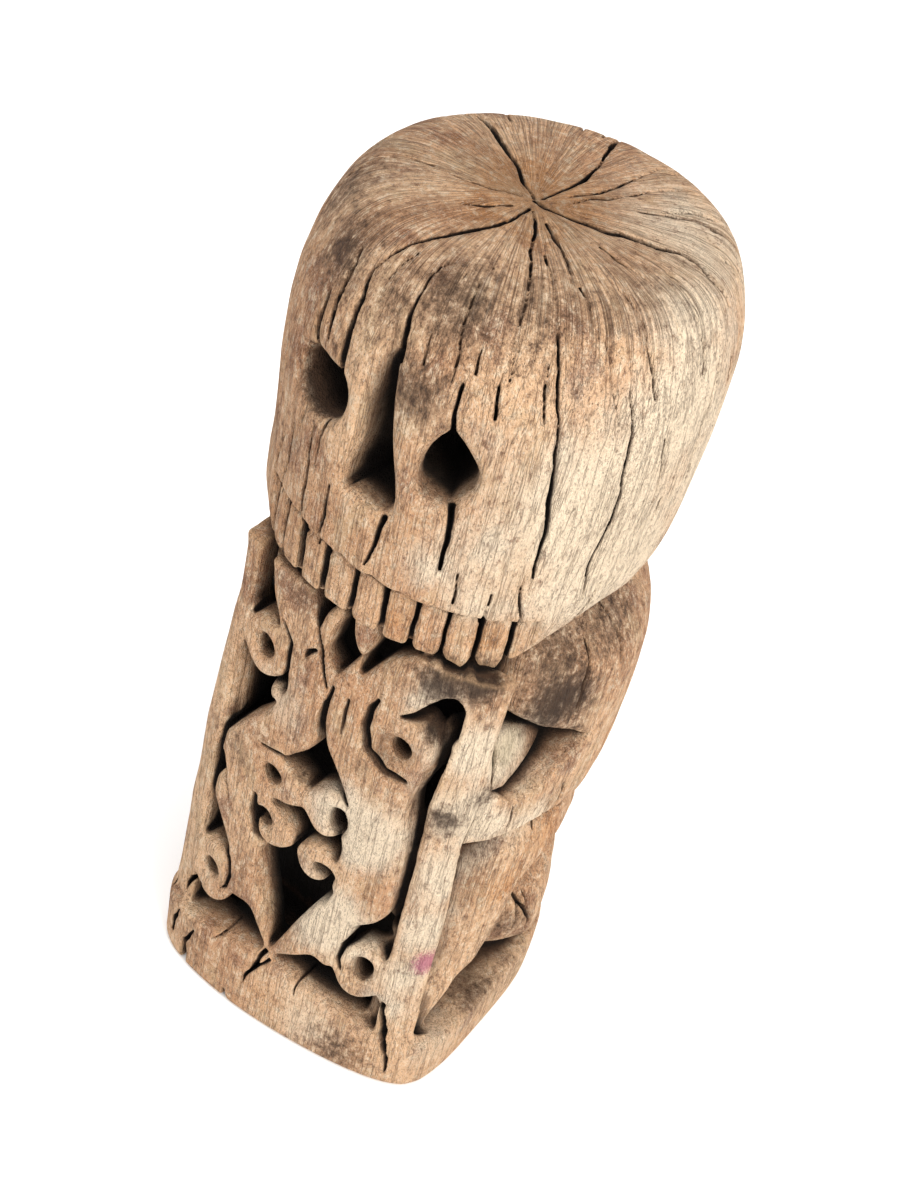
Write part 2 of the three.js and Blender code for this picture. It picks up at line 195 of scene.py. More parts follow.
# Nose: a three-sided hole that runs up into a groove, the wood sloping down to it from the left
NOSE_SLOPE = 2.8       # mm
NOSE = [
    (-5, 281.5), (-4.4, 289.6), (-1.4, 297.5), (0.4, 303), (2.4, 310), (2.8, 320), (3.0, 328),
    (3.2, 338), (3.9, 338), (4.3, 328), (4.4, 319), (5.1, 312.6), (6.1, 306.3), (7.4, 300),
    (8.8, 293.6), (9.8, 288.5), (10.7, 282.5), (8.7, 279.9), (7, 281.5), (5.1, 284.2),
    (1.9, 284.7), (-1.4, 283.6), (-3.6, 280.4),
]
part, x, y, z = window((-22, -84, 280), (8, -50, 356))
turn, _, _ = bearings(x, y, z)
slope = ease(turn, -6, 2.5) * ease(z, 280, 296) * ease(z, 342, 308) * (turn < 3.6)
wood[part] += NOSE_SLOPE * slope
bore(NOSE, "z", [(280, 26), (298, 25), (305, 8), (314, 4), (338, 2)], 0.8)

# Teeth: rounded tabs under the lip, parted by saw cuts that open at the surface and towards the tips
TOOTH_GAPS = [
    (-34, 1.8), (-26.5, 1.4), (-17, 3.0), (-6.5, 2.4), (4.3, 1.5), (14.2, 2.4), (23.6, 2.0), (32.6, 1.5),
    (42, 1.5), (51.5, 2.0),
]
TOOTH_FACE = 63.5      # radius of the teeth's faces
TOOTH_PITCH = 9.6      # degrees from tooth to tooth
ROW_MIDDLE = 9         # the row's middle, in degrees
ROW_HALF = 42
GAP_DEPTH = 6.0
GAP_MOUTH = 1.5        # half width of a gap at the teeth's faces
LIP = 255.5            # height of the lip's edge at the front
LIP_FALL = 0.1         # mm down for each degree towards +X
LIP_UNDERCUT = 0.9
SCALLOP = 1.4          # mm that the lip rises over each gap
TIP = 233.5            # height of the teeth's tips at the front
TIP_FALL = 0.09
TIP_ROUND = 1.7        # mm that a tooth's corners are higher than its tip
TIP_DEPTH = 3.5
UNDER_TIPS = 3.2       # mm between the tips and the shield


def sway(along, seed, reach):
    """A wandering offset in mm along a crack, up to about reach."""
    phases = np.random.default_rng(seed).uniform(0, 2 * math.pi, 3)
    waves = [np.sin(along / length + phase) for length, phase in zip((1.3, 3.1, 7.7), phases)]
    return reach * (0.2 * waves[0] + 0.4 * waves[1] + 0.4 * waves[2])


for i, (degrees, width) in enumerate(TOOTH_GAPS):
    cx, cy, _ = at_head(degrees, 0, TOOTH_FACE)
    lip = LIP - LIP_FALL * degrees
    tip = TIP - TIP_FALL * max(degrees, 0)
    part, x, y, z = window((cx - 13, cy - 13, 226), (cx + 13, cy + 13, 262))
    turn, radius, _ = bearings(x, y, z)
    across = np.abs(np.radians(turn - degrees) * radius + sway(z, 40 + i, 0.4))
    opening = np.maximum(0.4 * width + 0.1, GAP_MOUTH - 0.8 * (TOOTH_FACE - radius) * np.ones_like(z))
    opening = opening + 0.5 * ease(z, tip + 3, tip - 1) ** 2
    tool = np.maximum(np.maximum(across - opening, z - lip + 1.5), tip - 2 - z)
    cut(part, np.maximum(tool, TOOTH_FACE - GAP_DEPTH - radius), rim=1.0)

# The tips, rounded and cut clear of the shield below them
part, x, y, z = window((-46, -86, 224), (60, -36, 242))
turn, radius, _ = bearings(x, y, z)
from_gap = np.full_like(turn, 99)
for degrees, _ in TOOTH_GAPS:
    from_gap = np.minimum(from_gap, np.abs(np.radians(turn - degrees)) * radius)
tip = TIP - TIP_FALL * np.maximum(turn, 0) + TIP_ROUND * ease(from_gap, 3.0, 0.6) ** 2
tool = np.maximum(np.maximum(z - tip, tip - UNDER_TIPS - z), np.abs(turn - ROW_MIDDLE) - ROW_HALF)
cut(part, np.maximum(tool, TOOTH_FACE - TIP_DEPTH - radius), rim=0.8)

# The lip, undercut where the teeth come out from behind it
part, x, y, z = window((-48, -80, 246), (60, -36, 262))
turn, radius, _ = bearings(x, y, z)
scallop = SCALLOP * np.cos(np.radians((turn - 9.2) * 360 / TOOTH_PITCH))
off_edge = np.abs(z - LIP + LIP_FALL * turn + 1.6 - scallop - sway(turn, 30, 0.9))
under = np.maximum(off_edge - 0.7, np.abs(turn - ROW_MIDDLE) - (ROW_HALF + 5))
cut(part, np.maximum(under, TOOTH_FACE - LIP_UNDERCUT - radius), rim=0.9)

# The main cracks, as points of degrees, way over the head and width in mm
HEAD_CRACKS = [
    [(-140, 423, 1.5), (-127, 415, 1), (-131, 408, 1.4), (-127, 402, 1.9), (-124, 382, 2.7),
     (-122, 374, 1.5)],
    [(160, 422, 1.4), (168, 412, 1.3), (177, 392, 1.1), (180.5, 387, 0.8), (184, 373, 0.6)],
    [(105, 424, 2.4), (84, 420, 2.2), (91, 412, 2.4), (99.5, 406, 2.1), (98, 400, 2.0), (100, 396, 1.9),
     (99.5, 386, 1.3), (101.6, 379, 1.1), (100.8, 372, 1), (98.6, 366, 0.8), (99.7, 352, 0.8)],
    [(-125, 421, 1.4), (-69, 420, 1.7), (-56, 415, 2), (-66, 397, 1.3), (-69, 383, 0.9)],
    [(-15, 416, 1.1), (-21, 407, 1.8), (-28, 395, 0.6)],
    [(18.8, 419, 1.6), (14, 414, 1.6), (-2.8, 390, 2), (-5.4, 385, 1.3), (-7.5, 380, 1.6),
     (-10.4, 373, 1.2), (-12, 368, 1.2), (-13.9, 356, 1.4), (-13.7, 351, 1.9), (-12.8, 345, 2.3),
     (-13.2, 328, 2.4), (-12.5, 313, 1.6)],
    [(-23, 359, 0.7), (-21, 353, 1.4), (-20.8, 333, 2), (-20, 324, 0.6)],
    [(-5.7, 372, 0.7), (-6.7, 367, 1.1), (-8.8, 354, 0.5)],
    [(-25.3, 338, 1.4), (-25.4, 326, 2.6), (-24.3, 320, 3), (-22, 314, 2.4)],
    [(-42, 345, 0.7), (-44, 335, 1.4), (-45, 328, 0.6)], [(-44, 326, 1.6), (-48, 317, 0.8)],
    [(-42, 362, 0.6), (-42, 357, 1.3), (-41, 352, 0.8)],
    [(34.3, 418, 1.4), (37, 412, 1), (31.7, 394, 1.2), (32.4, 378, 1.3), (31.6, 361, 1.4),
     (32.3, 348, 0.5)],
    [(31, 354, 0.5), (32, 342, 1.2), (32, 336, 0.5)],
    [(19.5, 380, 0.5), (18, 374, 0.9), (17.5, 370, 1.1), (16.9, 364, 1.3), (17.3, 351, 1),
     (18.5, 340, 1.4), (18.7, 333, 0.6)],
    [(21.2, 334, 0.6), (21.4, 325, 1.3), (21.8, 316, 2.2)], [(23.3, 347, 0.6), (23.7, 338, 1.2)],
    [(29.7, 341, 0.6), (29.8, 336, 1.4), (30.6, 328, 1.8), (30.7, 321, 1)],
    [(39.8, 350, 0.6), (40.5, 344, 1.5), (41, 334, 1), (42, 325, 0.6)],
    [(9.9, 349, 0.5), (10.3, 341, 1), (10.4, 335, 0.5)],
    [(13.5, 378, 0.6), (11.8, 370, 0.9), (12, 361, 0.5)],
    [(6.6, 376, 0.6), (3.8, 371, 0.9), (3.1, 365, 1.3), (2.9, 352, 1.5), (3.1, 345, 2.2), (3.5, 334, 2.6)],
    [(0.5, 346, 0.5), (1, 336, 1), (0.5, 327, 0.5)],
    [(39.5, 394, 0.9), (40.1, 378, 1), (40.9, 363, 1.5), (43, 343, 1.4), (44.2, 334, 1.3), (46, 320, 1.5),
     (47.8, 304, 2.1), (50, 290, 2), (50.2, 271, 1.5), (50.6, 262, 1)],
    [(48.3, 270, 0.5), (48.7, 262, 1.6), (51, 252, 1.5), (52, 240, 1.2)],
    [(49.5, 378, 0.6), (50.9, 367, 1.3), (51.8, 356, 0.5)],
    [(53.3, 360, 0.7), (56, 345, 1.1), (58.7, 331, 0.5)],
    [(62, 380, 0.6), (64.3, 371, 0.9), (66, 351, 1.1), (69.7, 332, 0.6)],
    [(73.8, 397, 0.6), (75.8, 375, 0.8), (75.5, 359, 0.8), (76, 350, 0.5)],
    [(85.8, 377, 0.6), (84.5, 365, 0.9), (83.6, 356, 0.9), (85, 345, 0.9), (86, 334, 0.5)],
    [(62, 337, 0.5), (64.3, 324, 1.1), (65.3, 317, 1), (65.9, 305, 1.2), (67.5, 299, 1.6),
     (67.4, 290, 1.4), (65.7, 272, 1), (67.9, 257, 0.7)],
    [(145, 416, 0.7), (159, 387, 0.9), (161, 380, 0.9), (163, 373, 1.0), (160, 368, 0.8)],
    [(129, 414, 0.6), (141, 409, 0.9), (142, 402, 1.1), (146, 389, 0.9), (147, 374, 0.9), (144, 366, 0.7)],
    [(130, 388, 0.7), (133, 372, 0.7)], [(50, 412, 0.6), (49, 400, 1.2), (48.4, 384, 0.6)],
    [(76.2, 315, 0.5), (78.2, 304, 0.9), (79, 298, 1.3), (79.4, 290, 0.6)],
    [(93, 332, 0.6), (91.5, 325, 1.2), (91.6, 318, 0.6)],
    [(90.5, 318, 0.6), (91.5, 303, 1.3), (93.6, 291, 0.6)],
    [(-13.4, 300, 1.6), (-14.5, 292, 2), (-14.6, 278, 0.6)],
    [(-17.4, 294, 0.8), (-17.8, 280, 2.4), (-18.1, 258, 1.8)],
    [(-23, 299, 1), (-23, 293, 1.5), (-24, 288, 0.5)],
    [(-27.8, 286, 0.8), (-27.8, 274, 1.9), (-31, 257, 1.4)],
    [(-8.2, 279, 0.6), (-8.7, 267, 2), (-9.9, 256, 1.2)],
    [(-32.3, 278, 0.7), (-36, 267, 2.2), (-37.4, 261, 0.8)],
    [(9.6, 280, 2.4), (8.8, 272, 2), (7.4, 263, 1.2), (6.6, 259, 0.5)],
    [(26, 293, 2.4), (26.5, 280, 1.5), (26.8, 268, 0.6)], [(31.5, 268, 0.6), (32, 256, 1.2)],
    [(41.5, 262, 0.6), (40.6, 251, 1.3)], [(72, 262, 0.6), (69.5, 246, 1.2)],
    [(128, 395, 0.8), (124, 350, 1.8), (126, 300, 1.4), (124, 262, 0.8)],
    [(160, 366, 0.8), (158, 340, 1.4), (161, 300, 0.8)],
    [(-170, 374, 0.8), (-172, 345, 1.8), (-170, 290, 1.6), (-171, 258, 0.8)],
    [(-120, 376, 1.4), (-117, 362, 2), (-116, 335, 1.6), (-118, 290, 0.8)],
    [(-84, 372, 0.8), (-82, 340, 1.5), (-83, 300, 1)], [(-66, 382, 0.8), (-58, 350, 1.4), (-60, 310, 0.8)],
]


HALF_CRACK = 0.42      # share of a crack's width, and the least mm that the mesh can hold
DEEPEST_CRACK = 8


def head_crack(path, depth, seed, wander=0.5):
    """A drying crack over the head, through points of degrees, way and width, as a tapering cleft
    that closes at its depth."""
    path = sorted(path, key=lambda point: point[1])
    degrees, way, width = (np.array(column, float) for column in zip(*path))
    corners = []
    for turn, reach in zip(np.radians(degrees), way):
        radius = min(HEAD_RADIUS + 2, max(HEAD_RADIUS + CROWN + 2 - reach, 1))
        height = min(reach, CROWN + 1)
        corners.append((radius * math.sin(turn), HEAD_Y - radius * math.cos(turn), height))
    spare = depth + 4
    part, x, y, z = window(np.min(corners, 0) - spare, np.max(corners, 0) + spare)
    turn, radius, along = bearings(x, y, z)
    off = (turn - np.interp(along, way, degrees) + 180) % 360 - 180
    across = np.abs(np.radians(off) * radius + sway(along, seed, wander))
    past_end = np.maximum(np.maximum(way[0] - along, along - way[-1]), 0)
    opening = np.maximum(HALF_CRACK * np.interp(along, way, width), HALF_CRACK)
    opening = opening + 0.10 * sway(along * 2.3, seed + 7, 1)
    inward = np.clip(-wood[part] / depth, -0.3, 1)
    cut(part, np.hypot(across, past_end) - opening * (1.1 - 1.2 * inward), rim=0.3)


for i, path in enumerate(HEAD_CRACKS):
    widest = max(width for _, _, width in path)
    head_crack(path, min(0.9 + 1.7 * widest ** 2, DEEPEST_CRACK), 100 + i, wander=0.4)

# Short checks, crowded where the crown rounds over to the sides
CROWN_CHECKS = 60
SIDE_CHECKS = 40
chance = np.random.default_rng(11)
for i in range(CROWN_CHECKS):
    degrees = chance.uniform(105, 320)
    start = min(chance.normal(350, 13), 372)
    length = chance.uniform(5, 22)
    width = chance.uniform(0.8, 1.2)
    lean = chance.uniform(-2, 2)
    head_crack([(degrees, start - length / 2, 0.3), (degrees + lean, start, width),
                (degrees + lean, start + length / 2, 0.3)], chance.uniform(1.5, 3), 300 + i)
for i in range(SIDE_CHECKS):
    degrees = chance.uniform(75, 325)
    start = chance.uniform(262, 340)
    length = chance.uniform(8, 30)
    head_crack([(degrees, start, 0.3), (degrees, start + length / 2, chance.uniform(0.8, 1.1)),
                (degrees, start + length, 0.3)], chance.uniform(1.5, 3), 500 + i)

# The openwork shield
# Two upright bars with facing scrolls between them, pierced right through and left joined to the
# base and the chin. The curls are rolls marked off from their stems by chiselled grooves.


def to_path(a, b, path):
    """Distance from places (a, b) to a path of (a, b, width) points, and the half width there."""
    nearest = np.full(np.broadcast(a, b).shape, 1e3, np.float32)
    half = np.zeros_like(nearest)
    for (a0, b0, w0), (a1, b1, w1) in zip(path, path[1:]):
        share = ((a - a0) * (a1 - a0) + (b - b0) * (b1 - b0)) / ((a1 - a0) ** 2 + (b1 - b0) ** 2)
        share = np.clip(share, 0, 1)
        far = np.hypot(a - a0 - share * (a1 - a0), b - b0 - share * (b1 - b0))
        closer = far < nearest
        nearest = np.where(closer, far, nearest)
        half = np.where(closer, (w0 + share * (w1 - w0)) / 2, half)
    return nearest, half


def groove(path, depth, low, high, axes, seed, wander, rim):
    """A groove or crack as deep as depth below the surface, along a path drawn on two of the axes.
    low and high bound it on the third."""
    spots = np.array([point[:2] for point in path], float)
    spare = 4 + max(point[2] for point in path)
    bounds = {axes[0]: (spots[:, 0].min() - spare, spots[:, 0].max() + spare),
              axes[1]: (spots[:, 1].min() - spare, spots[:, 1].max() + spare)}
    for name in "xyz":
        bounds.setdefault(name, (low, high))
    part, x, y, z = window(*zip(*(bounds[name] for name in "xyz")))
    places = {"x": x, "y": y, "z": z}
    a, b = places[axes[0]], places[axes[1]]
    nearest, half = to_path(a + sway(b, seed, wander), b + sway(a, seed + 1, wander), path)
    inward = np.clip(-wood[part] / depth, -1, 1)
    cut(part, nearest - half * (1 - inward), rim)


def dome(centre, half):
    """A window round an ellipsoid, and its signed distance."""
    reach = max(half) + 3
    part, x, y, z = window([c - reach for c in centre], [c + reach for c in centre])
    scaled = np.sqrt(sum(((axis - c) / h) ** 2 for axis, c, h in zip((x, y, z), centre, half)))
    return part, (scaled - 1) * min(half)


# Grooves between the rolls, as points of x, z and width, and their depth
FRONT, BEHIND = -78, -42   # y, just past the shield's front and back
SCROLL_GROOVES = [
    ([(43, 213, 3), (43, 200, 3.6), (42.5, 182, 3.6), (40, 165, 5), (41, 150, 4), (42, 135, 3),
      (42.2, 120, 2.6), (42, 104, 3.4), (40.5, 92, 4)], 16),
    ([(27.5, 200, 1.6), (32.5, 202.5, 5.5), (37.5, 206, 10), (41.5, 211, 9), (42.5, 200, 7)], 24),
    ([(-34, 151, 2), (-40.5, 140, 2.6), (-42, 128, 2.0), (-42, 116, 2.4), (-42, 105, 2.4), (-40, 96, 2.8),
      (-36.5, 87, 3)], 10),
    ([(-22, 208, 1.0), (-17.5, 202, 1.8), (-17, 190, 1.6), (-18, 178, 1.0)], 4),
    ([(19, 202, 0.8), (16.8, 196, 2.6), (16, 188, 3.4), (18.5, 178, 4), (26, 172.5, 4), (33, 172.5, 3)], 6),
    ([(-21, 122, 1.4), (-22, 112, 2.2), (-18, 103, 3.6), (-11, 99.5, 2.2)], 5),
    ([(1, 125, 4.0), (-5, 124.5, 3.0), (-10, 124, 1.0)], 8),
    ([(-22, 148, 1.0), (-13, 150, 2.0), (-6, 147, 3.0)], 4),
    ([(14, 105, 2.0), (16.5, 100, 2.4), (15, 93, 2.6)], 8),
    ([(0, 121, 4.0), (4, 120.5, 2.0)], 6),
    ([(-28.5, 79, 1.6), (-26.5, 70, 2.4), (-28, 61, 2.0), (-30, 58, 0.8)], 5),
    ([(39, 85, 2.2), (31, 83, 3.0), (27, 76, 3.0), (26.5, 68, 2.0), (28, 62, 0.8)], 6),
    ([(8.5, 195, 0.8), (8, 186, 1.8), (8.3, 178, 0.6)], 4),
    ([(-8, 205, 1.2), (-10, 203, 3.0), (-11, 200, 1.0)], 4),
    ([(2, 196, 1.4), (0.5, 186, 1.6), (0, 176, 1.8), (1, 168, 2.4)], 8),
    ([(-39, 128, 0.8), (-36, 118, 1.4), (-33, 108, 0.8)], 2),
    ([(-35, 232, 3.2), (-35.5, 216, 3.0), (-36.5, 204, 2.4)], 12),
]
for i, (path, depth) in enumerate(SCROLL_GROOVES):
    groove(path, depth, FRONT, BEHIND, "xz", 600 + i, wander=0.3, rim=1.6)

# Small holes, as centre, half size and rim
PITS = [
    ((7, -69, 124), (1.4, 6, 1.4), 0.5), ((7, -70.5, 117.5), (3.4, 2.6, 2.8), 1.0),
    ((-27, -72, 196), (4.5, 3.5, 5), 1.0), ((29, -69, 184), (7.5, 5, 8), 3.0),
]
for centre, half, rim in PITS:
    cut(*dome(centre, half), rim)

# A thumb-shaped nub under the upper left curl
part, nub = dome((-21, -62, 174), (3.4, 6, 5.0))
FILLET = 1.5           # mm
fillet = np.maximum(FILLET - np.abs(wood[part] - nub), 0)
wood[part] = np.minimum(wood[part], nub) - fillet ** 2 / (4 * FILLET)

# The base
# The uncut foot of the log, squared a little at the front. It has split from the corners, and its
# lower edge is worn round.

# Cracks up the front, as points of x, z and width, their depth, and y from and to
BASE_CRACKS = [
    ([(-4, 44, 2.0), (-6, 36, 2.2), (-9, 26, 1.4), (-10, 18, 0.5)], 5, (-80, -58)),
    ([(-1, 42, 1.4), (-6, 33, 1.6), (-10, 22, 0.8)], 4, (-80, -58)),
    ([(15, 54, 0.8), (13, 42, 1.6), (12, 30, 0.8)], 4, (-80, -55)),
    ([(46, 52, 2.4), (47, 42, 3.4), (49, 32, 3.0), (51, 22, 1.4)], 9, (-78, -40)),
    ([(50, 25, 1.2), (52, 16, 2.2), (53, 8, 1.0)], 6, (-78, -40)),
    ([(-41, 50, 1.0), (-47, 45, 2.2), (-49, 36, 1.4)], 5, (-80, -45)),
    ([(-47, 30, 1.0), (-50, 20, 2.6), (-51, 10, 1.2)], 7, (-80, -45)),
    ([(-38, 26, 0.8), (-42, 14, 2.6), (-42, 3, 3.2), (-42, -2, 3.2)], 8, (-80, -45)),
    ([(-18, 6, 1.4), (-18, -2, 4.0)], 6, (-80, -55)),
    ([(-56, 34, 0.8), (-57, 22, 1.6), (-57, 12, 0.6)], 4, (-70, -35)),
    ([(-20, 50, 2.0), (-22, 40, 1.2), (-27, 32, 0.5)], 3, (-80, -58)),
]
for i, (path, depth, (low, high)) in enumerate(BASE_CRACKS):
    groove(path, depth, low, high, "xz", 700 + i, wander=0.8, rim=0.6)

# Arms, lap, legs and back
# The squatting body stays close to the log's round outline: arms bent over the knees, legs drawn
# up. Grooves part the limbs from the shield, and cracks run up them.

# Grooves seen from the right, as points of y, z and width, their depth, and x from and to
LIMB_GROOVES = [
    ([(-49, 224, 1.5), (-47, 205, 3.0), (-46, 186, 3.0), (-47, 174, 1.5)], 7, (52, 80)),
    ([(-46, 172, 2.0), (-40, 167.5, 4.0), (-33, 169, 3.4), (-22, 177, 2.4), (-12, 184, 1.0)], 4, (50, 80)),
    ([(-50, 138, 1.5), (-48, 120, 2.0), (-48, 96, 2.4), (-48, 70, 2.0), (-49, 48, 1.0)], 1.6, (50, 80)),
    ([(-50, 160, 1.2), (-49.5, 150, 2.2), (-50, 141, 1.4)], 4, (50, 80)),
    ([(-49, 138, 1.4), (-38, 143, 2.6), (-27, 145, 2.8), (-16, 145.5, 2.0), (-5, 143, 0.8)], 3, (50, 80)),
    ([(-38, 163, 0.8), (-36, 156, 1.6), (-36, 149, 0.8)], 3, (50, 80)),
    ([(-17, 163, 0.6), (-15, 157, 1.2), (-15, 148, 0.6)], 3, (50, 80)),
    ([(0, 74, 1.0), (6, 60, 1.4), (8, 46, 0.6)], 4, (40, 80)),
    ([(-8, 236, 0.6), (-4, 226, 1.0), (-4, 214, 0.6)], 3, (40, 80)),
]
for i, (path, depth, (low, high)) in enumerate(LIMB_GROOVES):
    groove(path, depth, low, high, "yz", 800 + i, wander=0.6, rim=0.8)

# The leg lies back behind the bar, and the thigh behind the forearm on the lap. Part of each step is
# counted as cut, so it is painted in shade beside the bar and under the lap.
BAR_STEP = 3.6         # mm
LAP_STEP = 2.4
STEP_SHADE = 0.3         # share of a step that darkens as a crack does
part, x, y, z = window((50, -53, 40), (80, -28, 148))
step = BAR_STEP * ease(y, -50.5, -48) * ease(y, -30, -46) * ease(z, 50, 68) * ease(z, 144, 138)
wood[part] += step
uncut[part] += (1 - STEP_SHADE) * step
part, x, y, z = window((50, -50, 120), (80, 0, 150))
under = np.interp(y, [-49, -38, -27, -16, -5], [138, 143, 145, 145.5, 143]) - z
step = LAP_STEP * ease(under, -0.5, 1.5) * ease(under, 16, 2) * ease(y, -49, -44) * ease(y, -4, -14)
wood[part] += step
uncut[part] += (1 - STEP_SHADE) * step

# Drying cracks up the sides and back of the log
LOG_MIDDLE = (0.0, -5.0)
LOG_RADIUS = 69
LOG_CRACKS = 34
LOG_CRACK_DEPTH = 4
for i in range(LOG_CRACKS):
    turn = chance.uniform(75, 318)
    height = chance.uniform(4, 225)
    length = chance.uniform(12, 50)
    width = chance.uniform(0.8, 1.4)
    cx = LOG_MIDDLE[0] + LOG_RADIUS * math.sin(math.radians(turn))
    cy = LOG_MIDDLE[1] - LOG_RADIUS * math.cos(math.radians(turn))
    part, x, y, z = window((cx - 11, cy - 11, height - 2), (cx + 11, cy + 11, height + length + 2))
    degrees = np.degrees(np.arctan2(x - LOG_MIDDLE[0], LOG_MIDDLE[1] - y))
    around = np.radians((degrees - turn + 180) % 360 - 180) * LOG_RADIUS
    swell = np.sin(np.clip((z - height) / length, 0, 1) * math.pi)
    inward = np.clip(-wood[part] / LOG_CRACK_DEPTH, -1, 1)
    cut(part, np.abs(around + sway(z, 900 + i, 0.7)) - width / 2 * swell * (1 - inward) + 0.05, rim=0.5)

# Weathered skin
# The adze and years of rain have left the surface in slow dips. The fibres and pores between them
# are finer than the mesh, and are left to the finish.

DIP_WIDTH = 18.0       # mm
DIP_RELIEF = 0.35
LUMP_WIDTH = 6.0
LUMP_RELIEF = 0.20
LATTICE = 32           # cells before the noise repeats
lattice = np.random.default_rng(5).uniform(-1, 1, [LATTICE] * 3).astype(np.float32)


def between(corner, shares):
    """The value inside a cell: corner(i, j, k) gives its eight corners, and shares is the place in
    the cell along each axis, from 0 to 1."""
    total = 0
    for i, j, k in np.ndindex(2, 2, 2):
        weight = ((shares[0] if i else 1 - shares[0]) * (shares[1] if j else 1 - shares[1])
                  * (shares[2] if k else 1 - shares[2]))
        total = total + weight * corner(i, j, k)
    return total


def noise(u, v, w):
    """Smooth noise from -1 to 1 with cells one unit wide."""
    cells, shares = [], []
    for value in (u, v, w):
        whole = np.floor(value)
        share = value - whole
        shares.append(share * share * (3 - 2 * share))
        cells.append(whole.astype(int))
    a, b, c = cells
    return between(lambda i, j, k: lattice[(a + i) % LATTICE, (b + j) % LATTICE, (c + k) % LATTICE], shares)


near = np.nonzero(np.abs(wood) < 3 * VOXEL)
px, py, pz = X[near[0]], Y[near[1]], Z[near[2]]
fade = ease(pz, 1.5, 8)
dips = noise(px / DIP_WIDTH, py / DIP_WIDTH, pz / (DIP_WIDTH * 1.5))
lumps = noise(px / LUMP_WIDTH, py / LUMP_WIDTH, pz / (LUMP_WIDTH * 2.5))
wood[near] += fade * (DIP_RELIEF * dips + LUMP_RELIEF * lumps)

# The carving as one mesh
# One closed surface for the whole figure, as it is one piece of wood. It stays under 200,000
# triangles, with the most of them where the carving turns.

TRIANGLES = 196000


def largest_skin(quads, count):
    """The quads of the largest connected surface, without loose chips or blisters inside."""
    parent = np.arange(count)
    while True:
        roots = parent[quads]
        lowest = roots.min(axis=1)
        if (roots == lowest[:, None]).all():
            break
        for k in range(4):
            np.minimum.at(parent, roots[:, k], lowest)
        while not np.array_equal(parent[parent], parent):
            parent = parent[parent]
    found, sizes = np.unique(lowest, return_counts=True)
    return quads[lowest == found[sizes.argmax()]]


def surface(block, name):
    """The closed surface of the carving as a mesh object, in metres."""
    grid = vdb.FloatGrid()
    grid.copyFromArray(block)
    points, quads = grid.convertToQuads()
    quads = largest_skin(quads.astype(np.int64), len(points))
    used, quads = np.unique(quads, return_inverse=True)
    points, quads = points[used], quads.reshape(-1, 4)
    points = (points + [axis[0] / VOXEL for axis in (X, Y, Z)]) * VOXEL / 1000
    mesh = bpy.data.meshes.new(name)
    mesh.vertices.add(len(points))
    mesh.vertices.foreach_set("co", points.astype(np.float32).ravel())
    mesh.loops.add(len(quads) * 4)
    mesh.loops.foreach_set("vertex_index", quads.astype(np.int32).ravel())
    mesh.polygons.add(len(quads))
    mesh.polygons.foreach_set("loop_start", np.arange(0, len(quads) * 4, 4, dtype=np.int32))
    mesh.update(calc_edges=True)
    mesh.validate()
    piece = bpy.data.objects.new(name, mesh)
    bpy.context.scene.collection.objects.link(piece)
    return piece


figure = surface(wood, "korwar_carving")
thin = figure.modifiers.new("fewer_triangles", "DECIMATE")
thin.ratio = TRIANGLES / (2 * len(figure.data.polygons))
thin.use_collapse_triangulate = True
fine = bpy.data.meshes.new_from_object(figure.evaluated_get(bpy.context.evaluated_depsgraph_get()))
figure.modifiers.clear()
coarse, figure.data = figure.data, fine
bpy.data.meshes.remove(coarse)
figure.data.name = "korwar_carving"
figure.data.polygons.foreach_set("use_smooth", np.ones(len(figure.data.polygons), bool))
print("carving:", len(figure.data.polygons), "triangles")

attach(figure, "root")
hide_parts("korwar_figure")

# Where dirt gathers, where sun and rain have been, and where shade is painted
# Each point of the surface is given a few facts: how far a crack cuts in below the hewn form, how
# convex it is, how much wood is round it, how much open air it sees, how deep it lies in the
# openwork, and how bleached, stained or ochre its place is. Cuts, creases, hollows, gaps and the
# openwork are painted darker from these as shade, the stain patches also paint shade in recesses,
# and the bleach patches also paint light on the bright right side.


def sample(block, points, step):
    """Values of a block, taken every step samples, at points in mm."""
    places = [(points[:, i] - axis[0]) / (VOXEL * step) for i, axis in enumerate((X, Y, Z))]
    cells = [np.clip(np.floor(place).astype(int), 0, size - 2) for place, size in zip(places, block.shape)]
    shares = [np.clip(place - cell, 0, 1) for place, cell in zip(places, cells)]
    return between(lambda i, j, k: block[cells[0] + i, cells[1] + j, cells[2] + k], shares)


def wood_share(step, width):
    """The share of wood round each step-th sample, over a bell curve of this many steps."""
    spare = 6
    filled = np.pad(np.clip(0.5 - wood[::step, ::step, ::step] / (VOXEL * step), 0, 1), spare)
    return blur(filled, width)[spare:-spare, spare:-spare, spare:-spare]


GOLDEN_ANGLE = 2.39996   # radians, which spreads the directions evenly


def air_seen(step, doublings, directions):
    """The share of directions, over a block of every step-th sample, in which the air goes on for
    two to the power of doublings samples."""
    reach = 2 ** doublings
    clear = np.clip(0.5 + wood[::step, ::step, ::step] / (VOXEL * step), 0, 1)
    air = np.pad(clear, reach, constant_values=1)
    seen = np.zeros_like(air)
    for i in range(directions):
        height = 1 - (2 * i + 1) / directions
        turn = i * GOLDEN_ANGLE
        level = math.sqrt(1 - height * height)
        way = np.array([level * math.cos(turn), level * math.sin(turn), height])
        free = air
        for k in range(doublings):
            shift = tuple(int(round(v)) for v in -way * 2 ** k)
            free = free * np.roll(free, shift, (0, 1, 2))
        seen += free
    return seen[reach:-reach, reach:-reach, reach:-reach] / directions


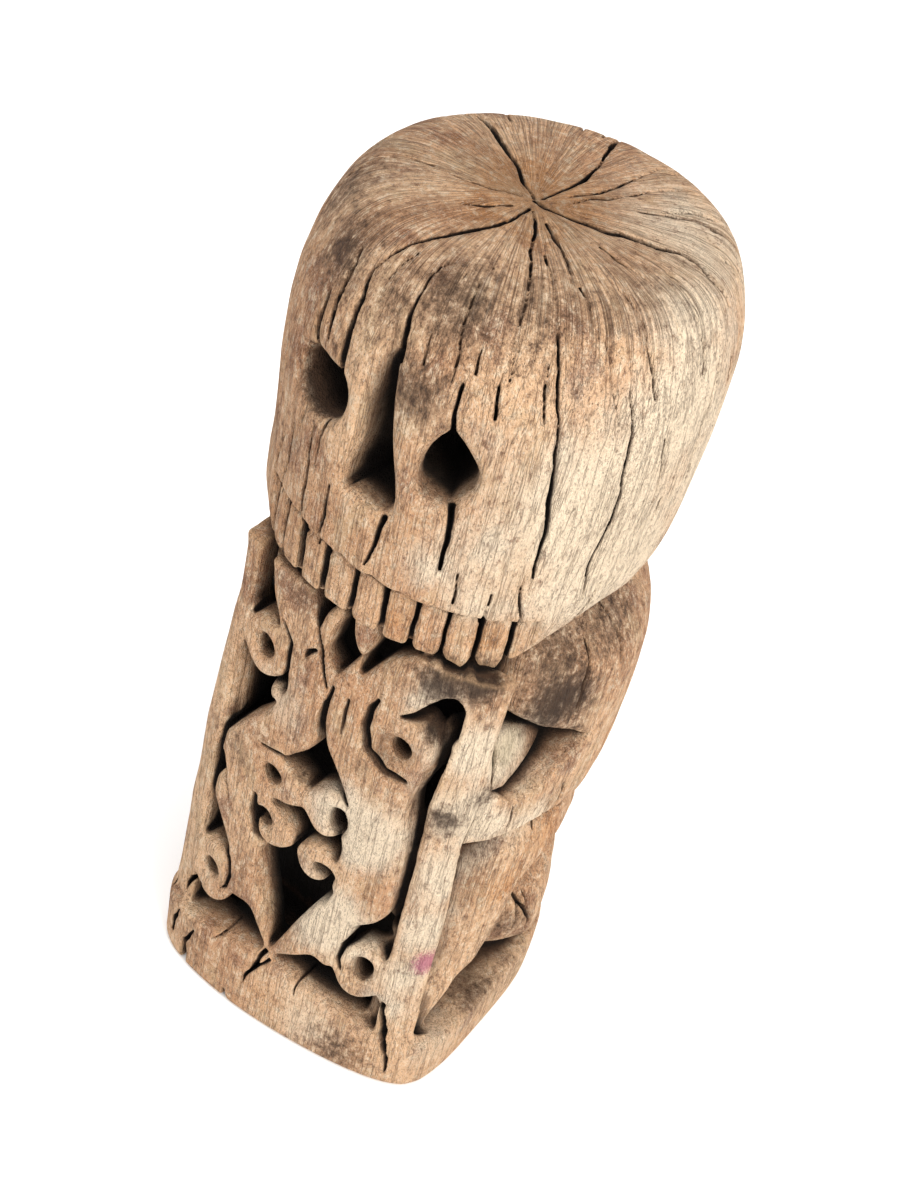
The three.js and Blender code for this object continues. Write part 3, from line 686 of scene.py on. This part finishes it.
AIR_OFFSET = 2.5       # mm clear of the surface, where the open air is sampled
SHIELD_Y = -71.0       # the shield's front at its middle
SHIELD_BOW = 13        # mm that it falls back by its outer edges
SHIELD_HALF = 52       # mm from its middle to those edges
spots = np.empty(len(figure.data.vertices) * 3, np.float32)
figure.data.vertices.foreach_get("co", spots)
spots = spots.reshape(-1, 3) * 1000
facing = np.empty(len(figure.data.vertices) * 3, np.float32)
figure.data.vertices.foreach_get("normal", facing)
facing = facing.reshape(-1, 3)

# How far a point lies below the hewn form, which sets the painted shade in cracks, sockets, grooves and
# beside the stepped-back leg
facts = {"cut_depth": np.clip(-sample(uncut, spots, 1), 0, BAND * VOXEL)}
# How convex a point is: worn edges come out lighter, and concave creases get painted shade
facts["convex"] = 0.5 - sample(wood_share(2, 1.25), spots, 2)
# How much wood is round a point, for the painted shade in hollows
facts["hollow"] = sample(wood_share(5, 2.2), spots, 5)
# How much open air a point sees, for grime and painted shade in gaps
facts["open_air"] = np.clip(2 * sample(air_seen(4, 4, 48), spots + AIR_OFFSET * facing, 4), 0, 1)

# How deep a point lies in the openwork, for the painted shade inside its gaps
across = np.abs(spots[:, 0])
behind = spots[:, 1] - SHIELD_Y - SHIELD_BOW * (spots[:, 0] / SHIELD_HALF) ** 2
facts["openwork"] = (ease(behind, 4, 17) * ease(across, 47, 42) * ease(spots[:, 1], -22, -27)
                     * ease(spots[:, 2], 30, 38) * ease(spots[:, 2], 238, 230))

# Patches, as x, y, z and reach in mm, and strength
PATCHES = {
    # Bleaching by sun, and also painted light on the right side and fronts where the light falls brightest
    "bleach_and_painted_light": [
        (61, -45, 298, 34, 1.0), (68, -22, 325, 30, 0.9), (63, -30, 270, 32, 1.0), (44, -62, 277, 24, 0.6),
        (60, -20, 350, 20, 0.75), (40, -60, 258, 16, 0.7), (30, -70, 268, 14, 0.6),
        (52, -57, 195, 16, 0.9), (53, -56, 165, 16, 0.9), (54, -55, 130, 18, 0.8), (55, -55, 100, 16, 0.8),
        (24, -68, 140, 20, 1.0), (58, -46, 153, 12, 1.0), (20, -68, 85, 22, 1.0), (38, -65, 212, 12, 0.8),
        (46, 8, 358, 34, 0.6), (66, 12, 300, 40, 0.8), (20, -69, 20, 22, 0.5), (60, -40, 22, 16, 0.4),
        (50, -57, 70, 15, 0.7), (48, -59, 50, 13, 0.6), (-19, -69, 175, 14, 0.5), (65, -30, 150, 14, 0.7),
        (59, -41, 188, 14, 1.2), (62, -36, 174, 10, 0.8), (40, -66, 195, 6, 0.4), (68, -6, 230, 8, 0.5),
    ],
    # Stains from rain, and also painted shade in recesses: under the teeth and chin, round the rolls,
    # beside the bar and on the floor by the base
    "stain_and_painted_shade": [
        (-2, -71, 345, 20, 0.75), (14, -66, 350, 20, 0.9), (30, -56, 352, 20, 0.7),
        (42, -45, 354, 18, 0.6), (50, -26, 356, 16, 0.55), (63, -18, 347, 16, 0.45),
        (-27, -63, 345, 18, 0.9), (-42, -42, 348, 20, 0.8), (-20, -68, 322, 12, 0.6),
        (12, -76, 325, 16, 0.9), (-20, -66, 306, 9, 4.0), (60, -6, 229, 26, 0.8), (58, -30, 224, 20, 0.9),
        (62, -27, 206, 18, 1.4), (38, -65, 222, 12, 1.3), (48, -60, 225, 10, 1.4), (52, -57, 220, 7, 0.6),
        (64, -22, 190, 14, 0.9), (49, -60, 160, 9, 1.2), (56, -50, 172, 7, 1.0), (44, -63, 150, 6, 0.8),
        (52, -57, 210, 8, 0.4), (51, -58, 79, 9, 0.6), (18, -70, 168, 9, 0.6), (35, -64, 160, 7, 0.6),
        (-33, -66, 140, 12, 0.6), (-14, -72, 200, 10, 0.6), (-8, -71, 165, 8, 0.5), (14, -70, 120, 7, 0.4),
        (-15, -70, 60, 10, 0.5), (34, -62, 66, 10, 0.6), (-17, -69, 224, 12, 0.7), (-8, -74, 244, 14, 0.4),
        (-38, -66, 150, 10, 0.5), (-38, -66, 20, 14, 0.5), (34, -64, 12, 16, 0.9), (-2, -68, 150, 8, 1.3),
        (38, -58, 199, 8, 1.6), (-22, -69, 152, 7, 0.7), (64, 8, 20, 16, 0.6), (67, -22, 80, 18, 0.6),
        (62, -14, 31, 14, 0.9), (66, -6, 60, 16, 0.9), (63, -14, 46, 12, 0.9), (66, 8, 38, 14, 0.8),
        (58, -42, 90, 9, 0.5), (57, -42, 74, 9, 0.5), (62, -38, 126, 11, 0.6), (-36, -57, 275, 12, 0.6),
        (-33, -60, 300, 10, 0.5), (0, 60, 300, 30, 0.4), (-60, 10, 220, 24, 0.5),
    ],
    "ochre": [
        (2, -16, 361, 34, 0.9), (40, -14, 360, 26, 0.6), (45, -56, 241, 12, 0.8), (21, -71, 242, 14, 0.7),
        (-8, -74, 242, 14, 0.5), (65, -30, 111, 16, 0.8), (68, -15, 130, 18, 0.7), (66, -25, 156, 16, 0.4),
        (3, -69, 20, 22, 0.6), (39, -62, 15, 20, 0.6), (60, -40, 15, 18, 0.5), (27, -61, 180, 12, 0.5),
        (-19, -69, 120, 20, 0.4), (-14, -40, 359, 22, 0.4), (30, -60, 300, 14, 0.3), (69, 5, 170, 16, 0.6),
    ],
}
for name, patches in PATCHES.items():
    strength = np.zeros(len(spots), np.float32)
    for cx, cy, cz, reach, share in patches:
        far = np.sum((spots - (cx, cy, cz)) ** 2, axis=1) / reach ** 2
        strength = np.maximum(strength, share * np.exp(-far))
    facts[name] = strength
for name, values in facts.items():
    layer = figure.data.attributes.new(name, "FLOAT", "POINT")
    layer.data.foreach_set("value", values.astype(np.float32))

# Weathered hardwood
# Dense tropical hardwood left outdoors: dry, silvery tan and without any polish. Long fibres and
# short dark pores run up the log, the sun side is bleached to cream, and rain has left grey-black
# mottling where water stood. Shade is painted in as well: dark in cracks, creases, hollows, gaps,
# the openwork and some stained recesses. Painted light is added on the bright right side.


def linear(code):
    """A linear colour from sRGB hex."""
    parts = [int(code[i:i + 2], 16) / 255 for i in (1, 3, 5)]
    return [c / 12.92 if c <= 0.04045 else ((c + 0.055) / 1.055) ** 2.4 for c in parts] + [1]


weathered = bpy.data.materials.new("weathered_hardwood")
weathered.use_nodes = True
tree = weathered.node_tree
tree.nodes.clear()


def node(kind, inputs=None, output=0, **settings):
    """Adds a node, fills its inputs from values, sRGB hex or other nodes, and returns one output."""
    made = tree.nodes.new("ShaderNode" + kind)
    for name, value in settings.items():
        setattr(made, name, value)
    for socket, value in (inputs or {}).items():
        if isinstance(value, bpy.types.NodeSocket):
            tree.links.new(value, made.inputs[socket])
        elif isinstance(value, str):
            made.inputs[socket].default_value = linear(value)
        else:
            made.inputs[socket].default_value = value
    return made.outputs[output] if made.outputs else None


# Places: plain, and along the rays of the crown, which meet at the pith
ROUND_OVER = (0.330, 0.352)   # metres, where the sides turn into the crown
RAY_RING = 0.060              # metres from the pith at which the rays are as wide as the sides' grain
RAY_WAY = 0.8                 # metres of grain for each metre from the pith
here = node("TexCoord", output="Object")
from_pith = node("VectorMath", {0: here, 1: (PITH[0] / 1000, PITH[1] / 1000, 0)}, operation="SUBTRACT")
level = node("VectorMath", {0: from_pith, 1: (1, 1, 0)}, operation="MULTIPLY")
spoke = node("VectorMath", {0: level}, "Value", operation="LENGTH")
rim = node("VectorMath", {0: level}, operation="NORMALIZE")
rim = node("VectorMath", {0: rim, "Scale": RAY_RING}, operation="SCALE")
height = node("SeparateXYZ", {0: here}, "Z")
inward = node("Math", {0: spoke, 1: RAY_WAY, 2: height}, operation="MULTIPLY_ADD")
up = node("CombineXYZ", {"Z": inward})
on_rays = node("VectorMath", {0: rim, 1: up}, operation="ADD")
crown = node("MapRange", {"Value": height, "From Min": ROUND_OVER[0], "From Max": ROUND_OVER[1]})

# Patterns, as the size of their cells in mm, detail and roughness. Real fibres are some 0.02 mm wide
# and pores 0.2 mm, too fine to show, so both are drawn coarser.
ALONG_RAYS = ("fibres", "threads", "hairlines", "rays")
PATTERNS = {
    "fibres": ((0.5, 0.5, 6), 5, 0.70),
    "threads": ((0.4, 0.4, 5), 2, 0.6),
    "hairlines": ((3.0, 3.0, 60), 3, 0.6),
    "rays": ((1.7, 1.7, 22), 3, 0.6),
    "pores": ((0.35, 0.35, 1.4), 2, 0.55),
    "pits": ((0.7, 0.7, 1.2), 3, 0.6),
    "grit": ((0.6, 0.6, 0.8), 2, 0.6),
    "mottle": ((3.0, 3.0, 4.5), 6, 0.75),
    "blotch": ((14, 14, 24), 5, 0.6),
    "cloud": ((40, 40, 70), 3, 0.55),
}
patterns = {}
for name, (cell, detail, roughness) in PATTERNS.items():
    both = []
    for place in (here, on_rays):
        stretched = node("VectorMath", {0: place, 1: [1000 / size for size in cell]}, operation="MULTIPLY")
        settings = {"Vector": stretched, "Scale": 1.0, "Detail": detail, "Roughness": roughness}
        both.append(node("TexNoise", settings))
        if name not in ALONG_RAYS:
            break
    patterns[name] = node("Mix", {0: crown, 2: both[0], 3: both[-1]}, data_type="FLOAT")
off_crown = node("Math", {0: 1.0, 1: crown}, operation="SUBTRACT")
for name in ("hairlines", "rays"):
    ridge = node("Math", {0: patterns[name], 1: 0.5}, operation="SUBTRACT")
    patterns[name] = node("Math", {0: ridge}, operation="ABSOLUTE")
patterns["rays"] = node("Math", {0: patterns["rays"], 1: off_crown}, operation="ADD")
for name in facts:
    patterns[name] = node("Attribute", output="Fac", attribute_name=name)

# Patches get ragged edges, and pores crowd together, from the noise of another pattern
RAGGED = [
    ("bleach_and_painted_light", "blotch", 1.0),
    ("stain_and_painted_shade", "mottle", 2.0),
    ("ochre", "blotch", 1.2),
    ("pores", "blotch", 0.35),
]
for name, edge, ragged in RAGGED:
    centred = node("Math", {0: patterns[edge], 1: 0.5}, operation="SUBTRACT")
    patterns[name] = node("Math", {0: centred, 1: ragged, 2: patterns[name]}, operation="MULTIPLY_ADD")

# Colour, from the wood up to the dirt and the painted shade: pattern, where it starts and is full, most,
# colour
LAYERS = [
    ("cloud", 0.35, 0.65, 1.0, "#e0b892"),
    ("blotch", 0.53, 0.66, 0.65, "#98664b"),
    ("blotch", 0.47, 0.34, 0.55, "#c8aa86"),
    # Sun bleaching, partly painted light on the lit right side
    ("bleach_and_painted_light", 0.10, 0.75, 0.90, "#f0dec4"),
    ("ochre", 0.35, 0.85, 0.60, "#cb8c50"),
    ("mottle", 0.54, 0.66, 0.62, "#7f563f"),
    ("mottle", 0.50, 0.36, 0.60, "#efd9bb"),
    ("fibres", 0.46, 0.34, 0.48, "#74503a"),
    ("threads", 0.55, 0.72, 0.45, "#f0dfc8"),
    ("pores", 0.60, 0.68, 0.38, "#55392a"),
    ("pits", 0.65, 0.72, 0.55, "#4d3425"),
    ("grit", 0.60, 0.72, 0.40, "#f3e8d8"),
    # More of the bleaching and painted light
    ("bleach_and_painted_light", 0.45, 1.00, 0.35, "#ecd9bd"),
    ("hairlines", 0.024, 0.0, 0.48, "#5a3c2b"),
    ("rays", 0.040, 0.0, 0.50, "#63432e"),
    # Stains, and painted shade in the recesses that the stain patches cover
    ("stain_and_painted_shade", 0.20, 1.10, 0.78, "#5f493a"),
    ("stain_and_painted_shade", 0.60, 1.35, 0.75, "#2f241d"),
    # Worn convex edges lighter, and painted shade in concave creases
    ("convex", 0.06, 0.20, 0.35, "#dcb48a"),
    ("convex", -0.04, -0.18, 0.75, "#3f2b1e"),
    # Painted shade in cracks, sockets and grooves, near black where they are deep
    ("cut_depth", 0.5, 2.0, 0.85, "#35251a"),
    ("cut_depth", 2.2, 5.5, 0.92, "#160e09"),
    # Painted shade where much wood is round, in hollows
    ("hollow", 0.50, 0.62, 0.45, "#6a4c38"),
    ("hollow", 0.55, 0.68, 0.88, "#2a1c13"),
    ("hollow", 0.66, 0.80, 0.95, "#0f0a07"),
    # Grime and painted shade where little open air is seen, near black in narrow gaps
    ("open_air", 0.75, 0.50, 0.55, "#5e4432"),
    ("open_air", 0.50, 0.22, 0.95, "#140d09"),
    # Painted shade inside the openwork, near black deep in the gaps
    ("openwork", 0.0, 0.4, 0.85, "#3e2c20"),
    ("openwork", 0.2, 0.8, 0.96, "#0e0906"),
]
colour = "#c99a74"
for name, start, full, most, tone in LAYERS:
    share = node("MapRange", {"Value": patterns[name], "From Min": start, "From Max": full, "To Max": most},
                 interpolation_type="SMOOTHSTEP")
    colour = node("Mix", {0: share, 6: colour, 7: tone}, 2, data_type="RGBA")

# A smear of magenta paint on the right bar, and dry lichen on the lap: centre, reach, most, colour
SMEARS = [
    ((56, -55, 80), (5, 9, 8), 0.75, "#b4577c"),
    ((57, -40, 187), (9, 10, 9), 0.45, "#b3a787"),
]
for centre, reach, most, tone in SMEARS:
    away = node("VectorMath", {0: here, 1: [c / 1000 for c in centre]}, operation="SUBTRACT")
    away = node("VectorMath", {0: away, 1: [1000 / r for r in reach]}, operation="MULTIPLY")
    far = node("VectorMath", {0: away}, "Value", operation="LENGTH")
    ragged = node("Math", {0: patterns["grit"], 1: 1.6, 2: far}, operation="MULTIPLY_ADD")
    share = node("MapRange", {"Value": ragged, "From Min": 2.0, "From Max": 1.2, "To Max": most},
                 interpolation_type="SMOOTHSTEP")
    colour = node("Mix", {0: share, 6: colour, 7: tone}, 2, data_type="RGBA")

# Relief too fine for the mesh: pattern, where it starts and is full, and its height there
RELIEF_HEIGHT = 0.0006   # metres for a height of 1
RELIEF = [
    ("threads", 0.3, 0.7, 0.5),
    ("pores", 0.58, 0.70, -1.0),
    ("hairlines", 0.04, 0.0, -1.2),
    ("pits", 0.60, 0.72, -2.0),
    ("rays", 0.05, 0.0, -1.0),
    ("grit", 0.3, 0.7, 0.7),
    ("mottle", 0.3, 0.7, 1.6),
]
relief = patterns["fibres"]
for name, start, full, most in RELIEF:
    share = node("MapRange", {"Value": patterns[name], "From Min": start, "From Max": full, "To Max": most})
    relief = node("Math", {0: relief, 1: share}, operation="ADD")
bumps = node("Bump", {"Height": relief, "Strength": 1.0, "Distance": RELIEF_HEIGHT})
shader = node("BsdfPrincipled", {
    "Base Color": colour, "Roughness": 0.9, "IOR": 1.5, "Specular IOR Level": 0.2, "Normal": bumps})
node("OutputMaterial", {"Surface": shader})
figure.data.materials.clear()
figure.data.materials.append(weathered)

# Floor, light and camera
# A floor of matt white paper under soft daylight-coloured panels, with the camera looking down on
# the figure from its front right.

bpy.context.scene.view_settings.view_transform = "Standard"

REACH = 6.0            # metres
floor_mesh = bpy.data.meshes.new("floor")
corners = [(-REACH, -REACH, 0), (REACH, -REACH, 0), (REACH, REACH, 0), (-REACH, REACH, 0)]
floor_mesh.from_pydata(corners, [], [(0, 1, 2, 3)])
floor = bpy.data.objects.new("floor", floor_mesh)
bpy.context.scene.collection.objects.link(floor)
paper = bpy.data.materials.new("white_paper")
paper.use_nodes = True
matt = paper.node_tree.nodes["Principled BSDF"]
matt.inputs["Base Color"].default_value = linear("#fbfaf9")
matt.inputs["Roughness"].default_value = 0.9
floor_mesh.materials.append(paper)

sky = bpy.data.worlds.new("studio")
sky.use_nodes = True
sky.node_tree.nodes["Background"].inputs["Color"].default_value = (1, 1, 1, 1)
sky.node_tree.nodes["Background"].inputs["Strength"].default_value = 1.05
bpy.context.scene.world = sky


def panel(name, place, target, size, power, tint="#ffffff"):
    """A square soft light at place, facing target, both in metres."""
    lamp = bpy.data.lights.new(name, "AREA")
    lamp.size = size
    lamp.energy = power
    lamp.color = linear(tint)[:3]
    made = bpy.data.objects.new(name, lamp)
    bpy.context.scene.collection.objects.link(made)
    away = Vector(place) - Vector(target)
    made.rotation_euler = away.to_track_quat("Z", "Y").to_euler()
    made.location = place


panel("key", (1.5, -0.6, 1.3), (0, 0, 0.2), 1.0, 32, "#fff8ee")
panel("overhead", (0.1, -0.6, 2.2), (0, 0, 0.2), 1.2, 17)

# The camera stands where the perspective of the figure's front, side and crown agree: its place in
# metres and the directions of its axes
CAMERA_PLACE = (0.20907, -0.41634, 0.60559)
RIGHT = (0.79097, 0.58059, 0.19304)
UP = (-0.51537, 0.46217, 0.72166)
BACK = (0.32978, -0.67031, 0.66478)
FRAME = (920, 1200)
FOCAL = 1766           # focal length in pixels of the frame
SENSOR = 36            # mm

lens = bpy.data.cameras.new("camera")
lens.sensor_fit = "AUTO"
lens.sensor_width = SENSOR
lens.lens = SENSOR * FOCAL / FRAME[1]
lens.clip_start = 0.01
camera = bpy.data.objects.new("camera", lens)
bpy.context.scene.collection.objects.link(camera)
pose = Matrix((RIGHT, UP, BACK)).transposed().to_4x4()
pose.translation = CAMERA_PLACE
camera.matrix_world = pose
bpy.context.scene.camera = camera
